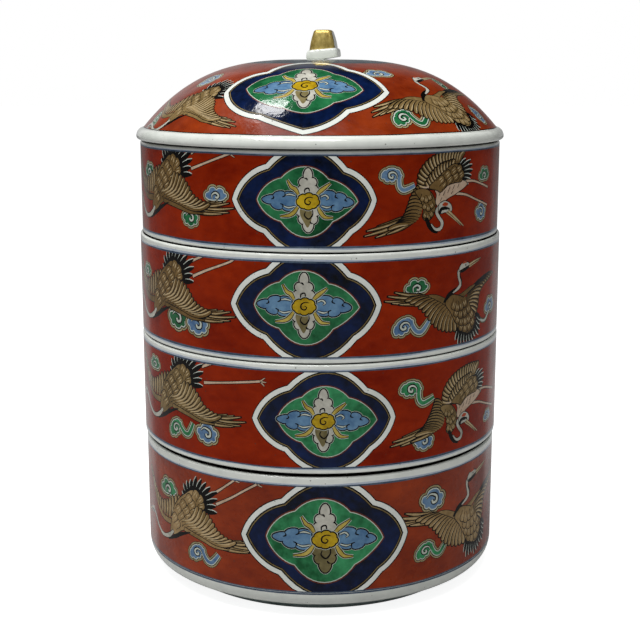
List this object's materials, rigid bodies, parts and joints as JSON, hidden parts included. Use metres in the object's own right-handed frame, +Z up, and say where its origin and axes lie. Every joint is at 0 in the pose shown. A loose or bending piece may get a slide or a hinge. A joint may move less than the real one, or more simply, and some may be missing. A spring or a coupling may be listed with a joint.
{
  "type": "stacking box",
  "caption": "Round porcelain stacking box: nesting tiers with locating foot rings under a domed lid with a rolled flange and a small gilt knob.",
  "frame": {"origin": "centre of the foot ring at the table, directly under the middle of the stack", "axes": "+Z up along the stack's axis, towards the knob; -Y towards the front, the side with the middle medallion"},
  "size_m": [0.1592, 0.1592, 0.2366],
  "materials": {
    "enamelled_porcelain": "glossy glaze and overglaze enamels, iron red ground between white bands, white inside",
    "gilt_porcelain": "burnished gilding over glossy white glaze"
  },
  "bodies": {
    "bottom_tier": {"bottom_tier": "enamelled_porcelain"},
    "second_tier": {"second_tier": "enamelled_porcelain"},
    "third_tier": {"third_tier": "enamelled_porcelain"},
    "top_tier": {"top_tier": "enamelled_porcelain"},
    "lid": {"lid": "enamelled_porcelain", "knob": "gilt_porcelain"}
  },
  "joints": [
    {"name": "second_tier_lift", "type": "slide", "parent": "bottom_tier", "child": "second_tier", "axis": [0, 0, 1], "range_m": [0, 0.08]},
    {"name": "third_tier_lift", "type": "slide", "parent": "second_tier", "child": "third_tier", "axis": [0, 0, 1], "range_m": [0, 0.08]},
    {"name": "top_tier_lift", "type": "slide", "parent": "third_tier", "child": "top_tier", "axis": [0, 0, 1], "range_m": [0, 0.08]},
    {"name": "lid_lift", "type": "slide", "parent": "top_tier", "child": "lid", "axis": [0, 0, 1], "range_m": [0, 0.08]}
  ]
}
